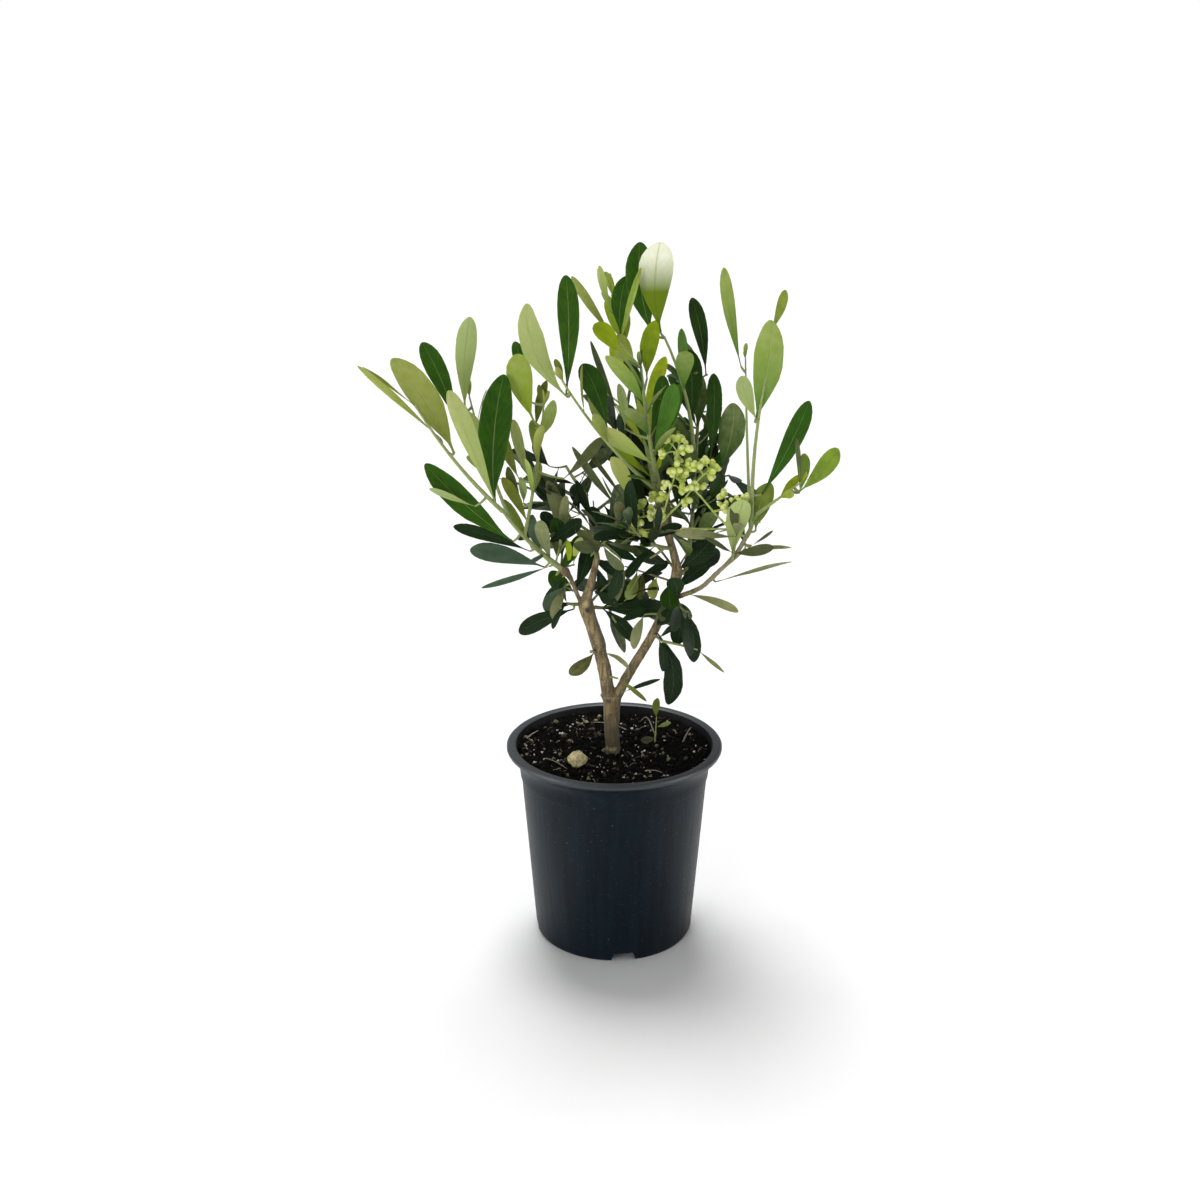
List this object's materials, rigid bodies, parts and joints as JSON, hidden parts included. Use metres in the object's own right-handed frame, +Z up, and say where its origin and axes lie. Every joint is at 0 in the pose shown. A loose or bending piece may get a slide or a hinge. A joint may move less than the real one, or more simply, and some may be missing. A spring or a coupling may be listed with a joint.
{
  "type": "potted olive tree",
  "caption": "Young olive tree with a forked trunk, narrow leaves and a few sprays of flower buds, growing in a round nursery pot filled with soil.",
  "frame": {"origin": "centre of the flat underside of the pot", "axes": "+Z up along the pot's axis; -Y is the front and +X is to the right seen from the front"},
  "size_m": [0.2773, 0.183, 0.453],
  "materials": {
    "pot": "satin moulded",
    "potting_soil": "loose, moist",
    "pale_stone": "rough",
    "bark": "rough young bark",
    "olive_leaves": "satin leaf",
    "dark_leaves": "satin leaf",
    "fresh_leaves": "satin leaf"
  },
  "bodies": {
    "root": {"back_foliage": "dark_leaves", "centre_bough": "bark", "centre_foliage": "olive_leaves", "fork_leaves": "olive_leaves", "front_foliage": "dark_leaves", "hanging_leaves": "dark_leaves", "knot_foliage": "dark_leaves", "left_back_foliage": "dark_leaves", "left_bough": "bark", "left_bough_leaf": "olive_leaves", "left_lower_foliage": "dark_leaves", "left_outer_foliage": "olive_leaves", "left_side_branch": "bark", "pale_stone": "pale_stone", "pot": "pot", "right_bough": "bark", "right_foliage": "fresh_leaves", "right_front_foliage": "olive_leaves", "right_lower_foliage": "dark_leaves", "right_side_branch": "bark", "soil": "potting_soil", "soil_seedling": "fresh_leaves", "top_foliage": "fresh_leaves", "trunk": "bark", "upper_right_foliage": "dark_leaves"}
  },
  "joints": []
}
